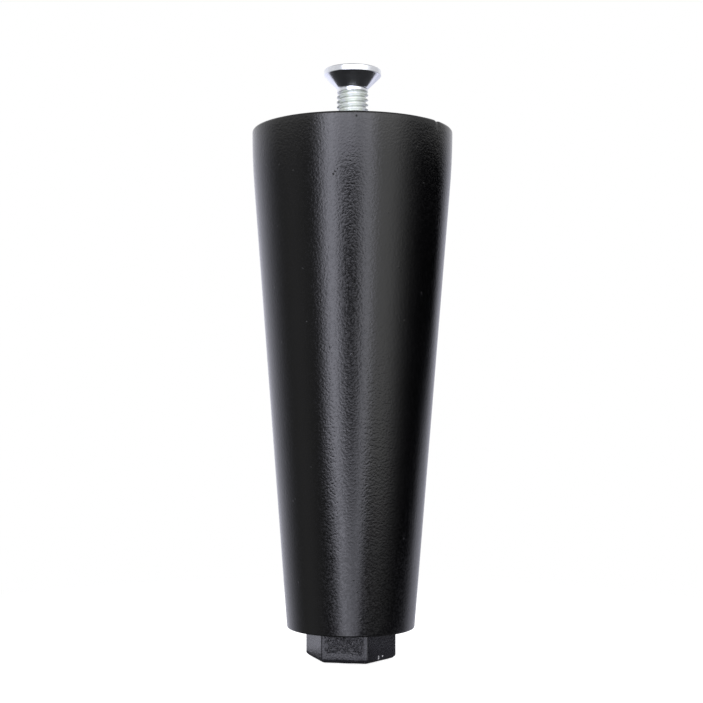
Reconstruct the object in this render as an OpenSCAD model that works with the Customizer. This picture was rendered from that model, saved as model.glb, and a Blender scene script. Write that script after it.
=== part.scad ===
// Tapered furniture leg with an M8 fixing screw in its top and a height
// adjustable hexagonal foot in its bottom end. Millimetres, +Z up. The origin is
// the point of the floor on the leg's axis, with the foot screwed fully in.

/* [Leg] */
// Height of the tapered leg between its two end planes
leg_h = 122.9; // [80:0.1:200]
// Outer diameter at the top
top_d = 50; // [46:0.5:70]
// Outer diameter at the bottom
bottom_d = 31.4; // [31:0.1:40]
// Wall thickness of the tapered tube
wall = 1.5; // [1.4:0.1:2.5]
// Height over which the taper rounds over to vertical below the top
shoulder_h = 14; // [10:0.5:30]
// Radius on the rim of both ends
edge_r = 0.5; // [0.3:0.1:0.9]

/* [End plates and threaded bushes] */
// Thickness of the top and bottom plates
plate_t = 3; // [2:0.5:5]
// Outer diameter of the threaded bushes
bush_d = 14; // [12:0.5:16]
// Diameter of the flange that holds a bush behind its plate
bush_flange_d = 22; // [18:0.5:26]
// Thickness of that flange
bush_flange_t = 2.5; // [1.5:0.5:4]
// Length of the top bush
top_bush_l = 12; // [8:1:20]
// Length of the bottom bush
bottom_bush_l = 20; // [16:1:26]

/* [Thread] */
// Outer diameter of the external M8 threads
thread_d = 7.9; // [7.7:0.05:7.95]
// Thread pitch
pitch = 1.25; // [1:0.25:1.25]
// Depth of the thread groove
thread_depth = 0.7; // [0.4:0.05:0.75]
// Diameter of the bush bores, clear of the thread crests
bore_d = 8; // [8:0.05:8.1]

/* [Mounting screw] */
// Length of the countersunk screw over its head
screw_l = 20; // [18:1:25]
// Height of the head's top face above the leg's top plane
screw_up = 15.7; // [13:0.1:17]
// Head diameter
head_d = 14.3; // [13.5:0.1:14.5]
// Height of the cylindrical land on the head's rim
head_land = 1.5; // [0.6:0.1:1.6]
// Depth of the cross recess
recess_depth = 3.4; // [2:0.1:4]

/* [Foot] */
// Height of the leg's bottom plane above the floor, with the foot fully in
foot_h = 7.7; // [7.5:0.1:9]
// Width across flats of the hexagonal foot
hex_af = 19.4; // [19:0.1:22]
// Turn of the hexagon about the leg's axis
hex_turn = -9; // [-30:1:30]
// Chamfer along the bottom edges of the hexagon
hex_chamfer = 0.7; // [0.2:0.1:0.9]
// Length of spindle inside the leg
spindle_in = 27.5; // [20:0.5:40]
// Diameter of the glide pad
pad_d = 15; // [13:0.5:16]
// Height that the glide pad stands proud of the hexagon
pad_proud = 0.4; // [0.3:0.1:0.6]

/* [Hidden] */
$fn = 96;

top_z = foot_h + leg_h;
straight_h = leg_h - shoulder_h;
// Radial growth per millimetre of height along the straight part of the taper
taper = (top_d - bottom_d) / 2 / (straight_h + shoulder_h / 2);
// Outer radius at a height above the leg's bottom plane
function leg_r(h) = let (t = max(0, h - straight_h))
    bottom_d / 2 + taper * h - taper * t * t / (2 * shoulder_h);
shoulder_steps = 10;
edge_steps = 5;

// Registers that the plates seat in
top_reg_r = leg_r(leg_h - plate_t) - wall + 0.2;
bottom_reg_r = leg_r(plate_t) - wall + 0.15;

// Foot levels above the floor
washer_t = 0.2;
foot_gap = 0.1;
washer_d = 17;
hex_top = foot_h - foot_gap - washer_t;
flange_af = 13;
flange_t = 2.6;
flange_z = hex_top - 0.5 - flange_t;
pad_clear = 0.1;
pad_t = 1.8;
stud_r = 2.5;
bead_r = 2.8;

// One turn of thread form as an outline: crest, flank, root, flank
function thread_turn(z) = [
    [thread_d / 2, z],
    [thread_d / 2, z + pitch / 8],
    [thread_d / 2 - thread_depth, z + pitch * 7 / 16],
    [thread_d / 2 - thread_depth, z + pitch * 11 / 16]];
// Outline of a row of turns going up from z
function thread_rows(z, turns) = [for (i = [0 : turns - 1], p = thread_turn(z + i * pitch)) p];

// A threaded round bar as rings of M8 section: plain neck at one end,
// chamfered tip at the other
module threaded_bar(z0, turns, neck_r, z_neck) {
    tip = 1.0;
    z_top = z0 + tip + turns * pitch;
    rotate_extrude()
        polygon(concat(
            [[0, z0], [thread_d / 2 - tip, z0], [thread_d / 2, z0 + tip - 0.01]],
            thread_rows(z0 + tip, turns),
            [[thread_d / 2, z_top], [neck_r, z_top + 0.4], [neck_r, z_neck], [0, z_neck]]));
}

module leg_shell() {
    color([0.045, 0.045, 0.05])
    translate([0, 0, foot_h])
    rotate_extrude()
        polygon(concat(
            // bottom rim
            [for (i = [0 : edge_steps]) let (a = -90 + 90 * i / edge_steps)
                [leg_r(edge_r) - edge_r + edge_r * cos(a), edge_r + edge_r * sin(a)]],
            // straight taper, then the rounded shoulder
            [for (i = [0 : shoulder_steps - 1]) let (h = straight_h + (shoulder_h - edge_r) * i / shoulder_steps)
                [leg_r(h), h]],
            // top rim
            [for (i = [0 : edge_steps]) let (a = 90 * i / edge_steps)
                [leg_r(leg_h - edge_r) - edge_r + edge_r * cos(a), leg_h - edge_r + edge_r * sin(a)]],
            // top register, inner wall, bottom register
            [[top_reg_r, leg_h], [top_reg_r, leg_h - plate_t]],
            [for (i = [shoulder_steps : -1 : 0]) let (h = straight_h + (shoulder_h - plate_t) * i / shoulder_steps)
                [leg_r(h) - wall, h]],
            [[leg_r(plate_t) - wall, plate_t], [bottom_reg_r, plate_t], [bottom_reg_r, 0]]));
}

module end_plate(r) {
    difference() {
        cylinder(r = r, h = plate_t);
        translate([0, 0, -1]) cylinder(d = bush_d, h = plate_t + 2);
    }
}

module top_plate() {
    color([0.045, 0.045, 0.05])
    translate([0, 0, top_z - plate_t]) end_plate(top_reg_r);
}

module bottom_plate() {
    color([0.045, 0.045, 0.05])
    translate([0, 0, foot_h]) end_plate(bottom_reg_r);
}

// Flanged bush with its mouth at z = 0 and its body going up
module bush(l) {
    rotate_extrude()
        polygon([
            [bore_d / 2 + 0.5, 0], [bush_d / 2, 0], [bush_d / 2, plate_t],
            [bush_flange_d / 2, plate_t], [bush_flange_d / 2, plate_t + bush_flange_t],
            [bush_d / 2, plate_t + bush_flange_t], [bush_d / 2, l],
            [bore_d / 2, l], [bore_d / 2, 0.5]]);
}

module top_bush() {
    color([0.62, 0.63, 0.62])
    translate([0, 0, top_z]) mirror([0, 0, 1]) bush(top_bush_l);
}

module bottom_bush() {
    color([0.62, 0.63, 0.62])
    translate([0, 0, foot_h]) bush(bottom_bush_l);
}

module mounting_screw() {
    head_top = top_z + screw_up;
    tip_z = head_top - screw_l;
    neck_r = thread_d / 2 - 0.1;
    cone_z = head_top - head_land - (head_d / 2 - neck_r);
    turns = floor((cone_z - 1.8 - tip_z) / pitch);
    color([0.75, 0.77, 0.76])
    difference() {
        union() {
            threaded_bar(tip_z, turns, neck_r, cone_z + 0.5);
            rotate_extrude()
                polygon([[0, cone_z], [neck_r, cone_z], [head_d / 2, head_top - head_land],
                         [head_d / 2, head_top - 0.3], [head_d / 2 - 0.3, head_top], [0, head_top]]);
        }
        // cross recess: two crossed wedges
        for (a = [0, 90])
            translate([0, 0, head_top]) rotate([0, 0, a + 45]) rotate([90, 0, 0])
                linear_extrude(height = 1.5, center = true)
                    polygon([[-4.4, 0.1], [4.4, 0.1], [4.3, 0], [1.9, -recess_depth], [-1.9, -recess_depth], [-4.3, 0]]);
    }
}

module foot_spindle() {
    tip_z = foot_h + spindle_in;
    neck_z = foot_h + 0.8;
    turns = floor((spindle_in - 2.6) / pitch);
    neck_r = thread_d / 2 - 0.2;
    color([0.62, 0.63, 0.62])
    rotate([0, 0, hex_turn])
    union() {
        translate([0, 0, flange_z]) cylinder(d = flange_af / cos(30), h = flange_t, $fn = 6);
        translate([0, 0, tip_z]) mirror([0, 0, 1]) threaded_bar(0, turns, neck_r, tip_z - flange_z - flange_t / 2);
    }
}

module hex_foot() {
    hex_r = hex_af / cos(30) / 2;
    color([0.07, 0.07, 0.075])
    rotate([0, 0, hex_turn])
    difference() {
        union() {
            translate([0, 0, pad_proud]) cylinder(r = hex_r, h = hex_top - pad_proud, $fn = 6);
            cylinder_at(washer_d / 2, hex_top - 0.5, hex_top + washer_t);
        }
        // chamfer along the six bottom edges
        for (i = [0 : 5])
            rotate([0, 0, 60 * i + 30]) translate([hex_af / 2, 0, pad_proud])
                rotate([90, 0, 0]) linear_extrude(height = hex_af, center = true)
                    polygon([[-hex_chamfer - 0.01, -0.01], [0.5, -0.01], [0.5, hex_chamfer + 0.5]]);
        // recess and snap pocket for the glide pad
        cylinder_at(pad_d / 2 + pad_clear, 0, pad_t + pad_clear);
        cylinder_at(stud_r + pad_clear, 0, pad_t + 0.9);
        cylinder_at(bead_r + 0.2, pad_t + 0.8, pad_t + 1.9);
        // seat of the spindle's flange and neck, moulded round them
        translate([0, 0, flange_z]) cylinder(d = flange_af / cos(30), h = flange_t, $fn = 6);
        cylinder_at(thread_d / 2 - 0.2, flange_z + 1, foot_h);
    }
}

module cylinder_at(r, z0, z1) {
    translate([0, 0, z0]) cylinder(r = r, h = z1 - z0);
}

module glide_pad() {
    color([0.11, 0.11, 0.11])
    rotate_extrude()
        polygon([
            [0, 0], [pad_d / 2 - 0.3, 0], [pad_d / 2, 0.3], [pad_d / 2, pad_t],
            [stud_r, pad_t], [stud_r, pad_t + 1.0], [bead_r, pad_t + 1.2],
            [bead_r, pad_t + 1.4], [stud_r - 0.3, pad_t + 1.7], [0, pad_t + 1.7]]);
}

leg_shell();
top_plate();
top_bush();
bottom_plate();
bottom_bush();
mounting_screw();
foot_spindle();
hex_foot();
glide_pad();
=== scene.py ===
import math
import random

import bmesh
import bpy
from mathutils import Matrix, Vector, noise


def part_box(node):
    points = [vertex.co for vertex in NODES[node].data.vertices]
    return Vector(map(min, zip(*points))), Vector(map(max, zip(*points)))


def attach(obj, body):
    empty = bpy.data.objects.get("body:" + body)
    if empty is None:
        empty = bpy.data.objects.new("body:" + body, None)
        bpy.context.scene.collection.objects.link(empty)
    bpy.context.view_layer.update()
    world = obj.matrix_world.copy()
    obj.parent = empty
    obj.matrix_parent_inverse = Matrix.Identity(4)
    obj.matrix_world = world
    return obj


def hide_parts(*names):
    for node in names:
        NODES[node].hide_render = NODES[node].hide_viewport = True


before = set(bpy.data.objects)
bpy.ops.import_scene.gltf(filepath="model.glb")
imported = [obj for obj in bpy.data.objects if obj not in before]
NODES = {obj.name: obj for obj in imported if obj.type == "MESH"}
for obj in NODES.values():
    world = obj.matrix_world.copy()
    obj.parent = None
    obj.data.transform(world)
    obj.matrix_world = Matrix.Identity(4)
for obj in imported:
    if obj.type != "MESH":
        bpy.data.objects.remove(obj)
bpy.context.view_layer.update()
MM = 0.001

# ---------------------------------------------------------------- dimensions from the frame
shell_lo, shell_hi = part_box("leg_shell")
foot_h, top_z = shell_lo.z / MM, shell_hi.z / MM          # leg's bottom and top planes
leg_h = top_z - foot_h
R_TOP = shell_hi.x / MM
plate_t = (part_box("top_plate")[1].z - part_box("top_plate")[0].z) / MM
top_reg_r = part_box("top_plate")[1].x / MM
bot_reg_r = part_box("bottom_plate")[1].x / MM
head_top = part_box("mounting_screw")[1].z / MM
screw_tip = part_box("mounting_screw")[0].z / MM
head_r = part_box("mounting_screw")[1].x / MM
spindle_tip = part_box("foot_spindle")[1].z / MM
spindle_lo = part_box("foot_spindle")[0].z / MM
pad_lo, pad_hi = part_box("glide_pad")
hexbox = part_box("hex_foot")
pad_proud, hex_hi = hexbox[0].z / MM, hexbox[1].z / MM
BUSH_R, BUSH_FLANGE_R, BUSH_FLANGE_T = 7.0, 11.0, 2.5
WALL, SHOULDER = 1.5, 14.0
EDGE_TOP, EDGE_BOT = 0.6, 0.4                              # rim radii
R_BOT = 15.7
STRAIGHT = leg_h - SHOULDER
TAPER = (R_TOP - R_BOT) / (STRAIGHT + SHOULDER / 2)
PITCH = 1.25
HEX_AF, HEX_TURN = 19.4, math.radians(-9)


def leg_r(h):
    """Outer radius of the leg, in mm, at a height h above its bottom plane."""
    t = max(0.0, h - STRAIGHT)
    return R_BOT + TAPER * h - TAPER * t * t / (2 * SHOULDER)


# ---------------------------------------------------------------- mesh helpers (all lengths in mm)
def new_object(name, verts, faces, sharp_deg=35, merge=1e-5):
    me = bpy.data.meshes.new(name)
    me.from_pydata([tuple(c * MM for c in v) for v in verts], [], faces)
    bm = bmesh.new()
    bm.from_mesh(me)
    bmesh.ops.remove_doubles(bm, verts=bm.verts, dist=merge * MM)
    bmesh.ops.dissolve_degenerate(bm, edges=bm.edges, dist=merge * MM * 0.1)
    bmesh.ops.recalc_face_normals(bm, faces=bm.faces)
    shade(bm, sharp_deg)
    bm.to_mesh(me)
    bm.free()
    o = bpy.data.objects.new(name, me)
    bpy.context.scene.collection.objects.link(o)
    return o


def shade(bm, sharp_deg):
    limit = math.radians(sharp_deg)
    for f in bm.faces:
        f.smooth = True
    for e in bm.edges:
        e.smooth = not (len(e.link_faces) == 2 and e.calc_face_angle(0.0) > limit)


def arc(cx, cz, r, a0, a1, n):
    """Points of an arc in the (radius, height) plane, angles in degrees."""
    return [(cx + r * math.cos(math.radians(a0 + (a1 - a0) * i / n)),
             cz + r * math.sin(math.radians(a0 + (a1 - a0) * i / n))) for i in range(n + 1)]


def lathe_data(profile, segs, closed, wobble=None):
    """Vertices and faces of a turned profile of (radius, height) points."""
    verts, faces = [], []
    n = len(profile)
    for j in range(segs):
        a = 2 * math.pi * j / segs
        for i, (r, z) in enumerate(profile):
            if wobble:
                r, z = wobble(r, z, a)
            verts.append((r * math.cos(a), r * math.sin(a), z))
    rows = n if closed else n - 1
    for j in range(segs):
        k = (j + 1) % segs
        for i in range(rows):
            m = (i + 1) % n
            q = [j * n + i, k * n + i, k * n + m, j * n + m]
            faces.append(q)
    return verts, faces


def lathe(name, profile, segs=192, closed=False, sharp_deg=35, wobble=None):
    v, f = lathe_data(profile, segs, closed, wobble)
    return new_object(name, v, f, sharp_deg)


def join_data(*parts):
    verts, faces = [], []
    for v, f in parts:
        off = len(verts)
        verts += v
        faces += [[i + off for i in q] for q in f]
    return verts, faces


def thread_radius(phase, crest, root):
    """Radius of an M thread against its phase 0..1 over one pitch, with a rounded root."""
    p = phase % 1.0
    half_crest, flank = 1 / 16, 5 / 16
    d = min(p, 1 - p)                       # distance from the middle of the crest
    if d <= half_crest:
        return crest
    t = min(1.0, (d - half_crest) / flank)
    return crest + (root - crest) * t


# distances from the crest's middle, over one pitch, at which rows of vertices run along the helix
ROWS = [-0.5, -0.44, -0.39, -0.33, -0.23, -0.13, -0.075, -0.045, 0.0, 0.045, 0.075, 0.13, 0.23, 0.33, 0.39, 0.44]


def section(p, crest, root):
    """Thread section with softened crest corners and a radiused root."""
    d = abs((p + 0.5) % 1.0 - 0.5)
    r = thread_radius(d, crest, root)
    depth = crest - root
    if d > 0.33:                             # root radius
        t = (d - 0.33) / 0.17
        r = thread_radius(0.33, crest, root) + (root - thread_radius(0.33, crest, root)) * math.sin(min(1, t) * math.pi / 2)
    if 0.045 <= d <= 0.075:
        r -= 0.03 * depth * (d - 0.045) / 0.03
    return r


def helix_data(z_lo, z_hi, crest, root, envelope, segs=128, z_phase=0.0, inner=False):
    """A right-hand thread surface between two heights, as rows of vertices that run along the helix.
    envelope(z, r) limits the radius at the ends, so that the rows that are cut off there meet in one ring."""
    turns = int(math.ceil((z_hi - z_lo) / PITCH)) + 3
    n = len(ROWS)
    start = math.floor((z_lo - z_phase) / PITCH) - 1
    verts, faces = [], []
    total = turns * n
    for j in range(segs):
        a = 2 * math.pi * j / segs
        for i in range(total):
            k, q = divmod(i, n)
            z = z_phase + (start + k + ROWS[q]) * PITCH + PITCH * j / segs
            z = min(max(z, z_lo), z_hi)
            ph = (z - z_phase) / PITCH - j / segs
            r = envelope(z, section(ph, crest, root))
            verts.append((r * math.cos(a), r * math.sin(a), z))
    for j in range(segs):
        last = j == segs - 1
        for i in range(total - 1):
            if last:
                if i + 1 + n >= total:
                    continue
                q = [j * total + i, i + n, i + 1 + n, j * total + i + 1]
            else:
                q = [j * total + i, (j + 1) * total + i, (j + 1) * total + i + 1, j * total + i + 1]
            faces.append(q)
    return verts, faces


def ramp01(x, a, b):
    t = min(1.0, max(0.0, (x - a) / (b - a)))
    return t * t * (3 - 2 * t)


def finish_piece(o, body, node, material):
    o.data.materials.clear()
    o.data.materials.append(material)
    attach(o, body)
    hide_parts(node)
    return o


# ---------------------------------------------------------------- material helpers
class Tree:
    """Small helper to write a node tree as expressions."""

    def __init__(self, nt):
        self.nt = nt

    def node(self, kind, **kw):
        nd = self.nt.nodes.new(kind)
        for k, v in kw.items():
            setattr(nd, k, v)
        return nd

    def put(self, sock, v):
        if isinstance(v, bpy.types.NodeSocket):
            self.nt.links.new(v, sock)
        elif v is not None:
            sock.default_value = v

    def math(self, op, a, b=None, c=None, clamp=False):
        nd = self.node("ShaderNodeMath", operation=op, use_clamp=clamp)
        for i, v in enumerate((a, b, c)):
            if v is not None:
                self.put(nd.inputs[i], v)
        return nd.outputs[0]

    def vmath(self, op, a, b=None, out=0):
        nd = self.node("ShaderNodeVectorMath", operation=op)
        self.put(nd.inputs[0], a)
        if b is not None:
            self.put(nd.inputs[1], b)
        return nd.outputs[out]

    def smooth(self, x, a, b, lo=0.0, hi=1.0):
        nd = self.node("ShaderNodeMapRange", interpolation_type="SMOOTHSTEP")
        self.put(nd.inputs["Value"], x)
        for k, v in (("From Min", a), ("From Max", b), ("To Min", lo), ("To Max", hi)):
            self.put(nd.inputs[k], v)
        return nd.outputs[0]

    def noise(self, vec, scale, detail=2.0, rough=0.5, dist=0.0, dims="3D"):
        nd = self.node("ShaderNodeTexNoise", noise_dimensions=dims)
        self.put(nd.inputs["Vector"], vec)
        nd.inputs["Scale"].default_value = scale
        nd.inputs["Detail"].default_value = detail
        nd.inputs["Roughness"].default_value = rough
        nd.inputs["Distortion"].default_value = dist
        return nd.outputs[0]

    def voronoi(self, vec, scale, feature="F1", out="Distance", rand=1.0):
        nd = self.node("ShaderNodeTexVoronoi", feature=feature)
        self.put(nd.inputs["Vector"], vec)
        nd.inputs["Scale"].default_value = scale
        nd.inputs["Randomness"].default_value = rand
        return nd.outputs[out]

    def mixc(self, f, a, b):
        nd = self.node("ShaderNodeMix", data_type="RGBA")
        self.put(nd.inputs[0], f)
        self.put(nd.inputs[6], a)
        self.put(nd.inputs[7], b)
        return nd.outputs[2]

    def bump(self, height, strength, dist, normal=None):
        nd = self.node("ShaderNodeBump")
        nd.inputs["Strength"].default_value = strength
        nd.inputs["Distance"].default_value = dist
        self.put(nd.inputs["Height"], height)
        if normal is not None:
            self.put(nd.inputs["Normal"], normal)
        return nd.outputs[0]


def material(name):
    m = bpy.data.materials.new(name)
    m.use_nodes = True
    t = Tree(m.node_tree)
    b = m.node_tree.nodes["Principled BSDF"]
    tc = t.node("ShaderNodeTexCoord")
    return m, t, b, tc.outputs["Object"]


def rgb(r, g, b):
    return (r, g, b, 1.0)


def surface_point(az_deg, h):
    """A point on the leg's outside in metres: azimuth from -Y towards +X, height above the bottom plane in mm."""
    a = math.radians(az_deg)
    r = leg_r(h)
    return (r * math.sin(a) * MM, -r * math.cos(a) * MM, (foot_h + h) * MM)


# ---------------------------------------------------------------- materials
GRAIN = 0.9                                             # strength of the coat's powder grain


def black_coat_material():
    """Satin black paint: fine grain, slight orange peel, a few pits and specks under the coat."""
    m, t, b, co = material("satin_black_coat")
    lumps = t.noise(co, 1900, 1.0, 0.5)                # powder lumps, about half a millimetre
    fine = t.noise(co, 3400, 1.0, 0.5)
    peel = t.noise(co, 240, 2.0, 0.5)
    cloud = t.noise(co, 45, 3.0, 0.55)
    # pits: azimuth, height on the leg in mm, radius in mm
    pits = [(-10.4, 108.1, 0.28), (-9.4, 108.7, 0.22), (-8.1, 109.3, 0.17), (2.2, 121.6, 0.26),
            (-29.0, 74.2, 0.26), (-12.4, 9.6, 0.24), (58.5, 5.6, 0.28), (24.0, 60.8, 0.2),
            (74.0, 50.0, 0.22), (118.0, 84.0, 0.24), (156.0, 33.0, 0.26), (201.0, 101.0, 0.22), (243.0, 57.0, 0.24),
            (290.0, 21.0, 0.2), (98.0, 110.0, 0.2), (330.0, 40.0, 0.18)]
    pit = None
    for az, h, r in pits:
        d = t.vmath("DISTANCE", co, surface_point(az, h), out=1)
        k = t.smooth(d, r * MM * 0.35, r * MM, 1.0, 0.0)
        pit = k if pit is None else t.math("MAXIMUM", pit, k)
    dust = t.voronoi(co, 240)                          # tiny raised specks here and there
    dust = t.smooth(dust, 0.035, 0.075, 1.0, 0.0)
    h = t.math("MULTIPLY", lumps, 0.8)
    h = t.math("MULTIPLY_ADD", fine, 0.2, h)
    hgt = t.node("ShaderNodeSeparateXYZ")
    t.put(hgt.inputs[0], co)
    low = t.smooth(hgt.outputs[2], 50 * MM, 15 * MM)     # the grain lies flatter and duller low down
    h = t.math("MULTIPLY", h, t.math("MULTIPLY_ADD", low, -0.5, 1.0))
    n = t.bump(h, GRAIN, 0.00005)
    n = t.bump(peel, 0.10, 0.0002, n)
    n = t.bump(t.math("SUBTRACT", t.math("MULTIPLY", dust, 0.35), pit), 0.5, 0.0002, n)
    t.put(b.inputs["Normal"], n)
    col = t.mixc(t.smooth(cloud, 0.3, 0.7), rgb(0.0011, 0.0011, 0.0013), rgb(0.0019, 0.0019, 0.0022))
    col = t.mixc(t.math("MULTIPLY", t.smooth(fine, 0.6, 0.75), 0.6), col, rgb(0.006, 0.006, 0.0065))
    col = t.mixc(pit, col, rgb(0.0008, 0.0008, 0.0008))
    t.put(b.inputs["Base Color"], col)
    r = t.math("MULTIPLY_ADD", t.smooth(lumps, 0.3, 0.7), 0.13, 0.07)
    r = t.math("MULTIPLY_ADD", t.smooth(cloud, 0.3, 0.7), 0.02, r)
    r = t.math("MULTIPLY_ADD", low, 0.06, r)
    r = t.math("MULTIPLY_ADD", pit, 0.35, r)
    t.put(b.inputs["Roughness"], r)
    b.inputs["IOR"].default_value = 1.5
    return m


def coated_face_material():
    """The same paint over turned end faces: concentric tool marks under the coat and rubbed patches."""
    m, t, b, co = material("satin_black_coat_faces")
    xyz = t.node("ShaderNodeSeparateXYZ")
    t.put(xyz.inputs[0], co)
    x, y = xyz.outputs[0], xyz.outputs[1]
    rad = t.math("SQRT", t.math("ADD", t.math("MULTIPLY", x, x), t.math("MULTIPLY", y, y)))
    wob = t.noise(co, 90, 2.0, 0.5)
    rings = t.math("SINE", t.math("MULTIPLY_ADD", rad, 9500.0, t.math("MULTIPLY", wob, 2.0)))
    grain = t.noise(co, 5200, 2.0, 0.6)
    cloud = t.noise(co, 120, 4.0, 0.6)
    n = t.bump(rings, 0.10, 0.00005)
    n = t.bump(grain, 0.25, 0.00005, n)
    n = t.bump(cloud, 0.2, 0.0002, n)
    t.put(b.inputs["Normal"], n)
    col = t.mixc(t.smooth(cloud, 0.45, 0.7), rgb(0.0026, 0.0026, 0.003), rgb(0.0065, 0.0065, 0.0068))
    t.put(b.inputs["Base Color"], col)
    t.put(b.inputs["Roughness"], t.math("MULTIPLY_ADD", cloud, 0.16, 0.30))
    b.inputs["IOR"].default_value = 1.5
    return m


def zinc_material(name, base_lo, base_hi, rough, rough_var, bump, thread=None):
    """Zinc plating: metal with clouded tint, fine handling scratches and slight pitting.
    thread = (z0, z1, tint, roughness, metallic) gives the part below z0 mm its duller, whiter bloom."""
    m, t, b, co = material(name)
    xyz = t.node("ShaderNodeSeparateXYZ")
    t.put(xyz.inputs[0], co)
    z = xyz.outputs[2]
    cloud = t.noise(co, 420, 3.0, 0.6)
    fine = t.noise(co, 2600, 2.0, 0.6)
    stretch = t.node("ShaderNodeMapping")
    stretch.inputs["Scale"].default_value = (1.0, 1.0, 9.0)
    t.put(stretch.inputs["Vector"], co)
    lines = t.noise(stretch.outputs[0], 900, 3.0, 0.65)
    cells = t.voronoi(co, 1300)
    col = t.mixc(t.smooth(cloud, 0.3, 0.72), base_lo, base_hi)
    r = t.math("MULTIPLY_ADD", cloud, rough_var, rough)
    r = t.math("MULTIPLY_ADD", t.smooth(lines, 0.45, 0.75), rough_var * 0.8, r)
    b.inputs["Metallic"].default_value = 1.0
    if thread:
        z0, z1, tint, dull, metallic = thread
        up = t.smooth(z, z0 * MM, z1 * MM)
        col = t.mixc(up, t.mixc(t.smooth(cloud, 0.35, 0.7), tint, base_hi), col)
        r = t.math("ADD", t.math("MULTIPLY", r, up), t.math("MULTIPLY", t.math("SUBTRACT", 1.0, up), dull))
        t.put(b.inputs["Metallic"], t.math("MULTIPLY_ADD", up, 1.0 - metallic, metallic))
        # painted shade and reflection: a grey-green darkening along the thread's root, half a turn from its crest,
        # stands in for the dark lines that shade and the leg's dark top draw there
        turn = t.math("DIVIDE", t.math("ARCTAN2", xyz.outputs[1], xyz.outputs[0]), 2 * math.pi)
        phase = t.math("FRACT", t.math("SUBTRACT", t.math("DIVIDE", z, PITCH * MM), turn))
        root = t.smooth(t.math("ABSOLUTE", t.math("SUBTRACT", phase, 0.5)), 0.06, 0.20, 1.0, 0.0)
        root = t.math("MULTIPLY", root, t.math("SUBTRACT", 1.0, up))
        # painted shade: darkens the colour along the thread's root
        col = t.mixc(t.math("MULTIPLY", root, 0.75), col, rgb(0.30, 0.33, 0.28))
    dark = t.math("MULTIPLY", t.smooth(fine, 0.58, 0.78), 0.16)
    col = t.mixc(dark, col, rgb(0.34, 0.35, 0.36))
    t.put(b.inputs["Base Color"], col)
    t.put(b.inputs["Roughness"], r)
    n = t.bump(t.math("ADD", t.math("MULTIPLY", fine, 0.6), t.math("MULTIPLY", lines, 0.4)), bump, 0.00004)
    n = t.bump(cells, bump * 0.5, 0.00005, n)
    t.put(b.inputs["Normal"], n)
    return m


def plastic_material(name, lo, hi, rough, torn):
    """Moulded black plastic: mould grain, every other spanner flat torn and dull, paler abraded lower edge."""
    m, t, b, co = material(name)
    xyz = t.node("ShaderNodeSeparateXYZ")
    t.put(xyz.inputs[0], co)
    x, y, z = xyz.outputs
    face = t.math("ARCTAN2", x, t.math("MULTIPLY", y, -1.0))
    face = t.math("COSINE", t.math("MULTIPLY", t.math("SUBTRACT", face, HEX_TURN), 3.0))
    flat = t.smooth(face, 0.1, 0.5)                     # 1 on alternate flats
    coarse = t.noise(co, 1500, 2.0, 0.6, 0.5)
    fine = t.noise(co, 2600, 2.0, 0.6)
    flow = t.node("ShaderNodeMapping")
    flow.inputs["Scale"].default_value = (1.0, 1.0, 0.22)
    t.put(flow.inputs["Vector"], co)
    streak = t.noise(flow.outputs[0], 1400, 4.0, 0.7, 0.3)
    cloud = t.noise(co, 160, 3.0, 0.5)
    upper = t.smooth(t.math("MULTIPLY_ADD", t.math("SUBTRACT", cloud, 0.5), 0.004, z), 2.4 * MM, 4.2 * MM)
    area = t.math("MULTIPLY", t.math("MULTIPLY", upper, flat), torn)
    tear = t.math("MULTIPLY", t.smooth(coarse, 0.47, 0.56), area)
    h = t.math("MULTIPLY_ADD", fine, 0.25, tear)
    n = t.bump(h, 1.0, 0.0003)
    n = t.bump(streak, 0.4, 0.00008, n)
    t.put(b.inputs["Normal"], n)
    col = t.mixc(t.smooth(cloud, 0.3, 0.7), lo, hi)
    scuff = t.math("MULTIPLY", t.smooth(streak, 0.52, 0.70), t.smooth(z, 3.0 * MM, 1.2 * MM, 0.2, 1.0))
    col = t.mixc(t.math("MULTIPLY", scuff, 0.30), col, rgb(0.060, 0.061, 0.070))
    col = t.mixc(t.math("MULTIPLY", t.smooth(fine, 0.56, 0.66), t.math("MULTIPLY", area, 0.6)), col, rgb(0.14, 0.14, 0.145))
    for at, rad in (((6.85, -6.9, 1.25), 0.48), ((6.75, -7.0, 1.75), 0.24), ((7.76, -5.85, 1.6), 0.26)):      # pale burrs beside a chip
        d = t.vmath("DISTANCE", co, tuple(c * MM for c in at), out=1)
        col = t.mixc(t.smooth(d, rad * MM * 0.5, rad * MM, 1.0, 0.0), col, rgb(0.68, 0.68, 0.70))
    t.put(b.inputs["Base Color"], col)
    r = t.math("MULTIPLY_ADD", fine, 0.14, rough)
    t.put(b.inputs["Roughness"], t.math("MULTIPLY_ADD", area, 0.28, r))
    b.inputs["IOR"].default_value = 1.48
    return m


COAT = black_coat_material()
COAT_FACES = coated_face_material()
ZINC_SCREW = zinc_material("bright_zinc_plating", rgb(0.74, 0.76, 0.82), rgb(0.88, 0.90, 0.95), 0.12, 0.08, 0.10,
                           thread=(top_z + 9.7, top_z + 10.5, rgb(0.86, 0.91, 0.83), 0.29, 0.50))
ZINC_INSERT = zinc_material("dull_zinc_plating", rgb(0.50, 0.51, 0.50), rgb(0.66, 0.67, 0.66), 0.26, 0.16, 0.16)
PLASTIC = plastic_material("moulded_black_plastic", rgb(0.010, 0.010, 0.012), rgb(0.016, 0.016, 0.019), 0.20, 1.0)
PAD = plastic_material("pad_plastic", rgb(0.040, 0.040, 0.041), rgb(0.055, 0.055, 0.056), 0.36, 0.2)


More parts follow.
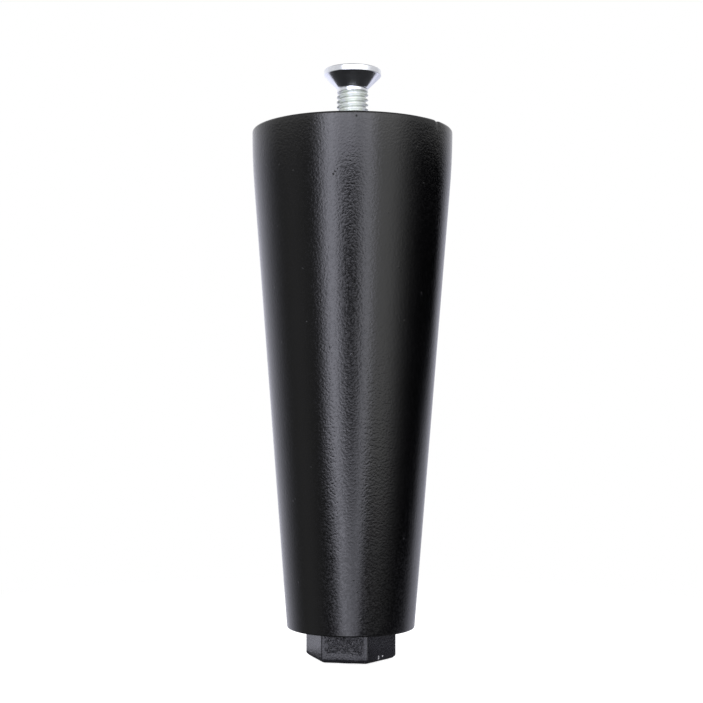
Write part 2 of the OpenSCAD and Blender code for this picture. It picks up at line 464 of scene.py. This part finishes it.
# ---------------------------------------------------------------- leg
def build_shell():
    """Tapered tube with rolled rims, a rounded shoulder and a seat for a plate at each end."""
    prof = []
    # outside, from the bottom up
    r0 = leg_r(EDGE_BOT)
    prof += [(bot_reg_r, 0.14), (bot_reg_r + 0.13, 0.0)]
    prof += arc(r0 - EDGE_BOT, EDGE_BOT, EDGE_BOT, -90, -2, 10)
    rows = 90
    for i in range(1, rows):
        h = EDGE_BOT + (leg_h - EDGE_BOT - EDGE_TOP) * i / rows
        prof.append((leg_r(h), h))
    r1 = leg_r(leg_h - EDGE_TOP)
    prof += arc(r1 - EDGE_TOP, leg_h - EDGE_TOP, EDGE_TOP, 0, 90, 10)
    prof += [(top_reg_r + 0.13, leg_h), (top_reg_r, leg_h - 0.14)]
    # inside, from the top down
    prof += [(top_reg_r, leg_h - plate_t), (leg_r(leg_h - plate_t) - WALL, leg_h - plate_t)]
    for i in range(1, 24):
        h = leg_h - plate_t - (leg_h - 2 * plate_t) * i / 24
        prof.append((leg_r(h) - WALL, h))
    prof += [(leg_r(plate_t) - WALL, plate_t), (bot_reg_r, plate_t)]

    def wobble(r, h, a):
        # nick in the top rim, a bump beside it and slight unevenness of the rolled edge
        z = foot_h + h
        if r > top_reg_r + 0.5 and h > leg_h - 2.2:
            az = math.degrees(math.atan2(math.cos(a), -math.sin(a)))
            edge = ramp01(h, leg_h - 2.2, leg_h - 0.3)
            z -= 0.42 * edge * math.exp(-((az - 55.0) / 1.3) ** 2)
            r -= 0.10 * edge * math.exp(-((az - 55.0) / 1.6) ** 2)
            z -= 0.035 * edge * (0.5 + 0.5 * noise.noise(Vector((math.cos(a) * 5, math.sin(a) * 5, 3.0))))
        return r, z

    return lathe("leg_shell_coated", prof, segs=360, closed=True, wobble=wobble)


def build_plate(name, r_out, z_face, up):
    """End plate, pressed into the tube: broken edges, and a shallow dish where the weld pulled it."""
    s = 1 if up else -1
    prof = [(BUSH_R, -plate_t), (BUSH_R, -0.16), (BUSH_R + 0.16, 0.0)]
    for i in range(1, 13):
        prof.append((BUSH_R + 0.16 + (r_out - 0.32 - BUSH_R) * i / 12, 0.0))
    prof += [(r_out, -0.16), (r_out, -plate_t)]

    def wobble(r, z, a):
        if z > -0.01 and r < r_out - 0.4 and r > BUSH_R + 0.4:
            z -= 0.03 * math.sin(math.pi * (r - BUSH_R) / (r_out - BUSH_R))
        return r, z_face + s * z

    return lathe(name, prof, segs=192, closed=True, wobble=wobble)


def build_bush(name, z_face, length, up):
    """Flanged bush with a true internal M8 thread. Its mouth is at z_face and it runs into the leg."""
    crest, root = 4.0, 3.36           # groove bottom and thread tips of the internal thread
    z0, z1 = (z_face - length, z_face) if up else (z_face, z_face + length)
    cham = 0.55

    def env(z, r):
        d = min(z - z0, z1 - z)
        return max(r, 4.0 + cham - d) if d < cham + 0.7 else r

    # phase puts this thread's grooves where the mating thread has its crests
    inner = helix_data(z0, z1, crest, root, env, segs=96, z_phase=0.0)
    s = -1 if up else 1
    out = [(4.0 + cham, 0.0), (BUSH_R - 0.16, 0.0), (BUSH_R, 0.16), (BUSH_R, plate_t),
           (BUSH_FLANGE_R - 0.3, plate_t), (BUSH_FLANGE_R, plate_t + 0.3),
           (BUSH_FLANGE_R, plate_t + BUSH_FLANGE_T - 0.3), (BUSH_FLANGE_R - 0.3, plate_t + BUSH_FLANGE_T),
           (BUSH_R, plate_t + BUSH_FLANGE_T), (BUSH_R, length - 0.4), (BUSH_R - 0.4, length), (4.0 + cham, length)]
    outer = lathe_data([(r, z_face + s * z) for r, z in out], 96, False)
    v, f = join_data(inner, outer)
    return new_object(name, v, f, 35)


def build_screw():
    """Countersunk M8 x 20: helical thread with run-out, neck, cone, rim land and cross recess."""
    crest, root = 3.95, 3.28
    neck = 3.85
    land = 1.5
    cone_top = head_top - land
    cone_z = cone_top - (head_r - neck)
    z_hi = cone_z - 0.75

    def env(z, r):
        tip = 2.95 + (z - screw_tip)
        r = min(r, tip)
        return r + (neck - r) * ramp01(z, z_hi - 0.7, z_hi)

    segs = 128
    thread = helix_data(screw_tip, z_hi, crest, root, env, segs=segs, z_phase=0.0)
    tip = lathe_data([(0.0, screw_tip), (1.4, screw_tip), (2.95, screw_tip)], segs, False)
    # fillet under the head, tangent to the neck and to the 45 degree cone
    fil = 0.5
    tangent = fil * math.tan(math.radians(22.5))
    head = [(neck, z_hi), (neck, z_hi + 0.05), (neck, cone_z - tangent - 0.05)] + [(neck + fil - fil * math.cos(math.radians(q)), cone_z - tangent + fil * math.sin(math.radians(q)))
                             for q in (0, 7.5, 15, 22.5, 30, 37.5, 45)]
    r_f, z_f = head[-1]
    r_e, z_e = head_r - 0.10, cone_top - 0.10
    for q in (0.03, 0.2, 0.4, 0.6, 0.8, 0.97, 1.0):
        head.append((r_f + (r_e - r_f) * q, z_f + (z_e - z_f) * q))
    head += [(head_r - 0.03, cone_top - 0.015), (head_r, cone_top + 0.06), (head_r, cone_top + 0.10)]
    head += [(head_r, head_top - 0.40), (head_r, head_top - 0.36)]
    head += arc(head_r - 0.34, head_top - 0.34, 0.34, 10, 90, 6)
    for r in (6.77, 6.2, 5.6, 4.8, 3.9, 3.0, 2.0, 1.0):
        head.append((r, head_top))
    head.append((0.0, head_top))
    headd = lathe_data(head, segs, False)
    v, f = join_data(thread, tip, headd)
    o = new_object("mounting_screw_zinc", v, f, 32)

    # cutter of the cross recess: tapered wings round a pointed core
    ring = []
    for k in range(4):
        a = math.radians(45 + 90 * k)
        ca, sa = math.cos(a), math.sin(a)
        for u, w in ((1.35, -0.80), (3.9, -0.72), (4.3, -0.35), (4.3, 0.35), (3.9, 0.72), (1.35, 0.80)):
            ring.append((u * ca - w * sa, u * sa + w * ca, u, w, ca, sa))
    levels = [(0.6, 1.06, 1.06), (0.0, 1.0, 1.0), (-2.6, 0.60, 0.86), (-3.3, 0.34, 0.70)]
    verts, faces = [], []
    for dz, su, sw in levels:
        for _, _, u, w, ca, sa in ring:
            uu = u * su if u > 2 else u * max(su, 0.75)
            ww = w * sw
            verts.append((uu * ca - ww * sa, uu * sa + ww * ca, head_top + dz))
    n = len(ring)
    for lv in range(len(levels) - 1):
        for i in range(n):
            j = (i + 1) % n
            faces.append([lv * n + i, lv * n + j, (lv + 1) * n + j, (lv + 1) * n + i])
    faces.append(list(range(n))[::-1])
    verts.append((0, 0, head_top - 3.9))
    base = (len(levels) - 1) * n
    for i in range(n):
        faces.append([base + i, base + (i + 1) % n, len(verts) - 1])
    cutter = new_object("recess_cutter", verts, faces, 30)
    boolean = o.modifiers.new("recess", "BOOLEAN")
    boolean.operation = "DIFFERENCE"
    boolean.solver = "EXACT"
    boolean.object = cutter
    bpy.context.view_layer.update()
    dg = bpy.context.evaluated_depsgraph_get()
    cut = bpy.data.meshes.new_from_object(o.evaluated_get(dg))
    o.modifiers.clear()
    o.data = cut
    bpy.data.objects.remove(cutter)
    bm = bmesh.new()
    bm.from_mesh(o.data)
    # break the recess's mouth slightly
    mouth = [e for e in bm.edges if len(e.link_faces) == 2 and all(abs(v.co.z - head_top * MM) < 1e-7 for v in e.verts)
             and e.calc_face_angle(0) > math.radians(40) and all(v.co.xy.length < 5.0 * MM for v in e.verts)]
    bmesh.ops.bevel(bm, geom=mouth, offset=0.12 * MM, segments=2, affect="EDGES", profile=0.5)
    bmesh.ops.recalc_face_normals(bm, faces=bm.faces)
    shade(bm, 32)
    bm.to_mesh(o.data)
    bm.free()
    return o


# ---------------------------------------------------------------- foot
def build_spindle():
    """M8 stud of the foot with its helical thread, plain neck and the hexagonal flange moulded into the plastic."""
    crest, root = 3.95, 3.28
    neck = 3.75
    z_lo, z_hi = foot_h + 0.8, spindle_tip
    flange_t = 2.6

    def env(z, r):
        r = min(r, 2.95 + (z_hi - z))
        return neck + (r - neck) * ramp01(z, z_lo, z_lo + 1.0)

    segs = 96
    thread = helix_data(z_lo, z_hi, crest, root, env, segs=segs, z_phase=0.0)
    cap = lathe_data([(2.95, z_hi), (1.4, z_hi), (0.0, z_hi)], segs, False)
    # hexagonal flange with broken corners below the neck
    verts, faces = [], []
    top, bot = spindle_lo + flange_t, spindle_lo

    def hex_r(a, af):
        b = (a - HEX_TURN) % (math.pi / 3) - math.pi / 6
        return min(af / 2 / math.cos(b), af / 2 * 1.13)

    rows = [(None, z_lo, neck), (None, top, neck), ("h", top, 12.6), ("h", top - 0.2, 13.0), ("h", bot + 0.2, 13.0), ("h", bot, 12.6), (None, bot, 0.0)]
    for j in range(segs):
        a = 2 * math.pi * j / segs
        for kind, z, d in rows:
            r = hex_r(a, d) if kind else d
            verts.append((r * math.cos(a), r * math.sin(a), z))
    n = len(rows)
    for j in range(segs):
        k = (j + 1) % segs
        for i in range(n - 1):
            faces.append([j * n + i, k * n + i, k * n + i + 1, j * n + i + 1])
    v, f = join_data(thread, cap, (verts, faces))
    return new_object("foot_spindle_threaded", v, f, 32)


def build_hex():
    """Moulded hexagon: rounded spanner corners, chamfered bottom edge, washer face, pad recess; chipped in two places."""
    segs = 360
    corner = 0.38
    af = HEX_AF / 2
    R = af / math.cos(math.pi / 6)

    def radius(a, inset):
        """Outline of a hexagon inset by so much, with corner radii."""
        b = (a - HEX_TURN) % (math.pi / 3) - math.pi / 6
        flat = af - inset
        c = corner
        # corner circle centre lies on the vertex ray
        vr = (flat - c) / math.cos(math.pi / 6)
        e = math.pi / 6 - abs(b)                     # angle from the vertex ray
        half = math.atan2(c * math.sin(math.pi / 6), vr + c * math.cos(math.pi / 6)) if c > 0 else 0
        if e < half:
            s = vr * math.sin(e)
            return vr * math.cos(e) + math.sqrt(max(0.0, c * c - s * s))
        return flat / math.cos(b)

    z_bot, z_top = pad_proud, hex_hi - 0.2
    rec = pad_hi.x / MM + 0.1
    rec_top = 1.9
    rows = []                                        # (kind, radius or inset, z)
    rows += [("c", rec, rec_top), ("c", rec, z_bot + 0.2), ("c", rec + 0.2, z_bot)]
    rows += [("h", 0.78, z_bot), ("h", 0.62, z_bot + 0.07), ("h", 0.10, z_bot + 0.58), ("h", 0.02, z_bot + 0.72)]
    for i in range(1, 22):
        rows.append(("h", 0.0, z_bot + 0.72 + (z_top - 0.35 - z_bot - 0.72) * i / 21))
    rows += [("h", 0.05, z_top - 0.16), ("h", 0.16, z_top - 0.04), ("h", 0.34, z_top)]
    rows += [("c", 8.72, z_top), ("c", 8.6, z_top + 0.06), ("c", 8.5, hex_hi - 0.04), ("c", 8.4, hex_hi)]
    rows += [("c", 6.5, hex_hi), ("c", 3.85, hex_hi), ("c", 3.77, hex_hi - 0.1)]
    # inside: close round the spindle's neck and hexagonal flange, then down to the snap pocket and the recess
    seat, lid = spindle_lo - 0.02, spindle_lo + 2.62
    rows += [("c", 3.77, lid), ("p", 13.06, lid), ("p", 13.06, seat), ("c", 3.0, seat), ("c", 3.0, 2.7), ("c", 2.6, 2.5), ("c", 2.6, rec_top)]

    # chips: (azimuth, height above the floor, half width in mm, half height, depth)
    chips = [(48.6, 1.2, 0.62, 0.60, 0.55), (-92.0, 0.85, 0.75, 0.30, 0.40), (-30.0, 7.0, 0.5, 0.35, 0.22), (143.0, 1.0, 0.6, 0.4, 0.35), (8.0, 0.9, 1.6, 0.14, 0.12)]
    verts, faces = [], []
    n = len(rows)
    for j in range(segs):
        a = 2 * math.pi * j / segs
        az = math.degrees(math.atan2(math.cos(a), -math.sin(a)))
        for kind, v, z in rows:
            if kind == "c":
                r = v
                # inner rows stay circles; the bottom face is flat between circle and hexagon
            elif kind == "p":
                r = min(v / 2 / math.cos((a - HEX_TURN) % (math.pi / 3) - math.pi / 6), v / 2 * 1.13)
            else:
                r = radius(a, v)
                for ca, cz, hw, hh, depth in chips:
                    d = ((az - ca + 180) % 360 - 180) * math.pi / 180 * 10.5 / hw
                    q = d * d + ((z - cz) / hh) ** 2
                    if q < 4:
                        r -= depth * math.exp(-1.6 * q)
                # mouldings are never quite flat: faces sink by a few hundredths
                b = (a - HEX_TURN) % (math.pi / 3) - math.pi / 6
                r -= 0.05 * math.cos(b * 3) * max(0.0, math.sin(math.pi * (z - z_bot) / (z_top - z_bot)))
            verts.append((r * math.cos(a), r * math.sin(a), z))
    for j in range(segs):
        k = (j + 1) % segs
        for i in range(n):
            mth = (i + 1) % n
            faces.append([j * n + i, k * n + i, k * n + mth, j * n + mth])
    return new_object("hex_foot_moulded", verts, faces, 40)


def build_pad():
    """Glide pad with a radiused edge, a raised centre spot from its gate and a barbed stud."""
    r = pad_hi.x / MM
    prof = [(0.0, 0.10), (0.9, 0.10), (1.1, 0.0), (3.0, 0.0), (5.2, 0.0)]
    prof += arc(r - 0.45, 0.45, 0.45, -90, 0, 8)
    prof += [(r, 1.65), (r - 0.15, 1.8), (2.5, 1.8), (2.5, 2.8), (2.8, 3.0), (2.8, 3.2), (2.2, 3.5), (0.0, 3.5)]
    return lathe("glide_pad_moulded", prof, segs=192, closed=False)


shell = finish_piece(build_shell(), "leg", "leg_shell", COAT)
tplate = finish_piece(build_plate("top_plate_coated", top_reg_r, top_z, True), "leg", "top_plate", COAT_FACES)
bplate = finish_piece(build_plate("bottom_plate_coated", bot_reg_r, foot_h, False), "leg", "bottom_plate", COAT_FACES)
tbush = finish_piece(build_bush("top_bush_threaded", top_z, 12.0, True), "leg", "top_bush", ZINC_INSERT)
bbush = finish_piece(build_bush("bottom_bush_threaded", foot_h, 20.0, False), "leg", "bottom_bush", ZINC_INSERT)
screw = finish_piece(build_screw(), "screw", "mounting_screw", ZINC_SCREW)
spindle = finish_piece(build_spindle(), "foot", "foot_spindle", ZINC_INSERT)
hexf = finish_piece(build_hex(), "foot", "hex_foot", PLASTIC)
pad = finish_piece(build_pad(), "glide", "glide_pad", PAD)

# ---------------------------------------------------------------- floor, pale and endless
floor_data = lathe_data([(0.0, -0.05), (60, -0.05), (160, -0.05), (400, -0.05), (900, -0.05), (1800, -0.05)], 96, False)
floor = new_object("studio_floor", *floor_data)
for poly in floor.data.polygons:
    if poly.normal.z < 0:
        poly.flip()
fm = bpy.data.materials.new("pale_floor")
fm.use_nodes = True
t = Tree(fm.node_tree)
out = fm.node_tree.nodes["Material Output"]
fm.node_tree.nodes.remove(fm.node_tree.nodes["Principled BSDF"])
co = t.node("ShaderNodeTexCoord").outputs["Object"]
dif = t.node("ShaderNodeBsdfDiffuse")
grain = t.noise(co, 700, 2.0, 0.5)
t.put(dif.inputs["Color"], t.mixc(grain, rgb(0.88, 0.88, 0.88), rgb(0.90, 0.90, 0.90)))
glow = t.node("ShaderNodeEmission")
glow.inputs["Color"].default_value = rgb(1, 1, 1)
glow.inputs["Strength"].default_value = 0.85
near = t.node("ShaderNodeAddShader")
t.put(near.inputs[0], dif.outputs[0])
t.put(near.inputs[1], glow.outputs[0])
em = t.node("ShaderNodeEmission")
em.inputs["Color"].default_value = rgb(1, 1, 1)
em.inputs["Strength"].default_value = 1.0
dist = t.vmath("LENGTH", co, out=1)
far = t.smooth(dist, 0.02, 0.16)
mix = t.node("ShaderNodeMixShader")
t.put(mix.inputs[0], far)
t.put(mix.inputs[1], near.outputs[0])
t.put(mix.inputs[2], em.outputs[0])
# seen from below, the floor is clear, so that the foot's underside can be looked at
geo = t.node("ShaderNodeNewGeometry")
clear = t.node("ShaderNodeBsdfTransparent")
mix2 = t.node("ShaderNodeMixShader")
t.put(mix2.inputs[0], geo.outputs["Backfacing"])
t.put(mix2.inputs[1], mix.outputs[0])
t.put(mix2.inputs[2], clear.outputs[0])
t.put(out.inputs["Surface"], mix2.outputs[0])
floor.data.materials.append(fm)
floor.visible_glossy = False
floor.visible_diffuse = False
floor.visible_shadow = False
floor.visible_transmission = False

# painted shadow: a dark disc, hidden from the camera, stands in for the shaded patch of floor under the leg's overhang,
# which the foot's lower edge reflects
painted_shadow_disc = new_object("painted_shadow_under_leg", *lathe_data([(0.0, -0.06), (6, -0.06), (12, -0.06), (18, -0.06)], 96, False))
for poly in painted_shadow_disc.data.polygons:
    if poly.normal.z < 0:
        poly.flip()
sm = bpy.data.materials.new("painted_floor_shadow")
sm.use_nodes = True
t = Tree(sm.node_tree)
sb = sm.node_tree.nodes["Principled BSDF"]
sco = t.node("ShaderNodeTexCoord").outputs["Object"]
# painted shadow: dark grey colour standing in for the floor's shade under the leg
t.put(sb.inputs["Base Color"], t.mixc(t.noise(sco, 700, 2.0, 0.5), rgb(0.16, 0.16, 0.165), rgb(0.20, 0.20, 0.205)))
sb.inputs["Roughness"].default_value = 0.9
painted_shadow_disc.data.materials.append(sm)
painted_shadow_disc.visible_camera = False
painted_shadow_disc.visible_shadow = False

# ---------------------------------------------------------------- studio light: a procedural room of soft panels
world = bpy.data.worlds.new("studio")
bpy.context.scene.world = world
world.use_nodes = True
t = Tree(world.node_tree)
bg = world.node_tree.nodes["Background"]
gen = t.node("ShaderNodeTexCoord").outputs["Generated"]
xyz = t.node("ShaderNodeSeparateXYZ")
t.put(xyz.inputs[0], gen)
dx, dy, dz = xyz.outputs
az = t.math("MULTIPLY", t.math("ARCTAN2", dx, t.math("MULTIPLY", dy, -1.0)), 180 / math.pi)
el = t.math("MULTIPLY", t.math("ARCSINE", dz), 180 / math.pi)


def bell(x, centre, width):
    u = t.math("DIVIDE", t.math("SUBTRACT", x, centre), width)
    return t.math("EXPONENT", t.math("MULTIPLY", t.math("MULTIPLY", u, u), -1.0))


def panel(azimuth, width, strength, el_lo=-60, el_hi=60, soft=6):
    v = bell(az, azimuth, width)
    v = t.math("MULTIPLY", v, t.smooth(el, el_lo - soft, el_lo + soft))
    v = t.math("MULTIPLY", v, t.smooth(el, el_hi + soft, el_hi - soft))
    return t.math("MULTIPLY", v, strength)


# azimuth 0 is towards the camera, positive to the picture's right. The two soft boxes stand closer
# together towards the floor, so their azimuths are squeezed there.
squeeze = t.smooth(el, -9.0, -21.0, 1.0, 2.1)
az_box = t.math("MULTIPLY", az, squeeze)


def box(azimuth, width, strength, el_lo=-60, el_hi=60, soft=6):
    v = bell(az_box, azimuth, width)
    v = t.math("MULTIPLY", v, t.smooth(el, el_lo - soft, el_lo + soft))
    v = t.math("MULTIPLY", v, t.smooth(el, el_hi + soft, el_hi - soft))
    return t.math("MULTIPLY", v, strength)


back_left = t.smooth(az, -86.0, -140.0, 0.0, 1.05)                    # white backdrop behind the object
# on the right its near edge comes further round towards the floor
lower = t.node("ShaderNodeMapRange")
t.put(lower.inputs["Value"], el)
for k, v in (("From Min", 0.0), ("From Max", -16.0), ("To Min", 125.0), ("To Max", 93.0)):
    lower.inputs[k].default_value = v
edge = t.math("ADD", lower.outputs[0], t.smooth(el, -15.5, -20.5, 0.0, -38.0))
edge = t.math("ADD", edge, t.smooth(el, 4, 10, 0.0, -13.0))
back_right = t.smooth(az, edge, 150.0, 0.0, 0.78)
corner_high = panel(130.0, 11.0, 0.36, -60, -5, 3)                    # its softer lower corner
corner_mid = panel(117.0, 11.0, 0.25, -60, -12.5, 3.5)
corner_low = panel(103.0, 11.0, 0.35, -60, -18, 2)
key_left = box(-25.0, 11.5, 4.6, -19, 26, 7)
key_right = box(17.8, 9.0, 2.3, -26, 26, 6)
low_centre = t.math("MULTIPLY", bell(az, -3.5, 13.0), t.smooth(el, -6, -19, 0.0, 3.0))
low_left = t.math("MULTIPLY", bell(az, -12.0, 11.0), t.smooth(el, -15, -20, 0.0, 0.6))
top_centre = panel(-3.0, 13.0, 3.4, 2.2, 22, 2.4)
left_wall = panel(-72.0, 32.0, 0.33, -60, 60)
fill_right = panel(38.0, 25.0, 1.4, -13, 60, 5)
low_right = panel(36.0, 16.0, 0.07, -60, -14, 5)
keys = t.math("MULTIPLY", t.math("ADD", key_left, key_right), t.smooth(el, -20.5, -15.0, 0.15, 1.0))


def add_up(parts):
    v = parts[0]
    for p in parts[1:]:
        v = t.math("ADD", v, p)
    return v


# the room outside the soft boxes: brighter from the ceiling's edge up, an even tone low down
above = t.smooth(el, 7, 15)
high = t.smooth(el, 26, 55)
below = t.smooth(el, -23, -36)
keep = t.math("MULTIPLY", t.math("SUBTRACT", 1.0, high), t.math("SUBTRACT", 1.0, below))
walls = t.math("SUBTRACT", 1.0, t.math("MULTIPLY", above, 0.80))
cool = t.math("MULTIPLY_ADD", add_up([back_left, back_right, corner_high, corner_mid, corner_low]), walls, add_up([keys, low_centre, low_left, top_centre]))
plain = t.math("MULTIPLY_ADD", left_wall, walls, add_up([fill_right, low_right]))
ceiling = t.math("MULTIPLY", above, t.math("SUBTRACT", 1.0, high))
cool = t.math("MULTIPLY", cool, keep)
plain = t.math("MULTIPLY", plain, keep)
plain = t.math("MULTIPLY_ADD", ceiling, 0.76, plain)
plain = t.math("MULTIPLY_ADD", high, 0.42, plain)
plain = t.math("MULTIPLY_ADD", below, 0.12, plain)
lp = t.node("ShaderNodeLightPath").outputs["Is Camera Ray"]
hidden = t.math("SUBTRACT", 1.0, lp)
bg.inputs["Color"].default_value = rgb(1.0, 1.0, 1.0)
t.put(bg.inputs["Strength"], t.math("MULTIPLY_ADD", plain, hidden, lp))
bg_cool = t.node("ShaderNodeBackground")
bg_cool.inputs["Color"].default_value = rgb(0.95, 0.955, 1.09)
t.put(bg_cool.inputs["Strength"], t.math("MULTIPLY", cool, hidden))
both = t.node("ShaderNodeAddShader")
t.put(both.inputs[0], bg.outputs[0])
t.put(both.inputs[1], bg_cool.outputs[0])
t.put(world.node_tree.nodes["World Output"].inputs["Surface"], both.outputs[0])
world.cycles.sampling_method = "MANUAL"
world.cycles.sample_map_resolution = 1024

# ---------------------------------------------------------------- camera
cam_data = bpy.data.cameras.new("camera")
cam = bpy.data.objects.new("camera", cam_data)
bpy.context.scene.collection.objects.link(cam)
cam_data.sensor_width = 36.0
cam_data.lens = 67.3
cam_data.clip_start, cam_data.clip_end = 0.01, 20.0
cam.location = (0.0, -0.3269, (foot_h + 54.05) * MM)
cam.rotation_euler = (math.radians(90 + 2.43), math.radians(-0.19), 0.0)
bpy.context.scene.camera = cam
bpy.context.scene.view_settings.view_transform = "Standard"

bpy.context.view_layer.update()
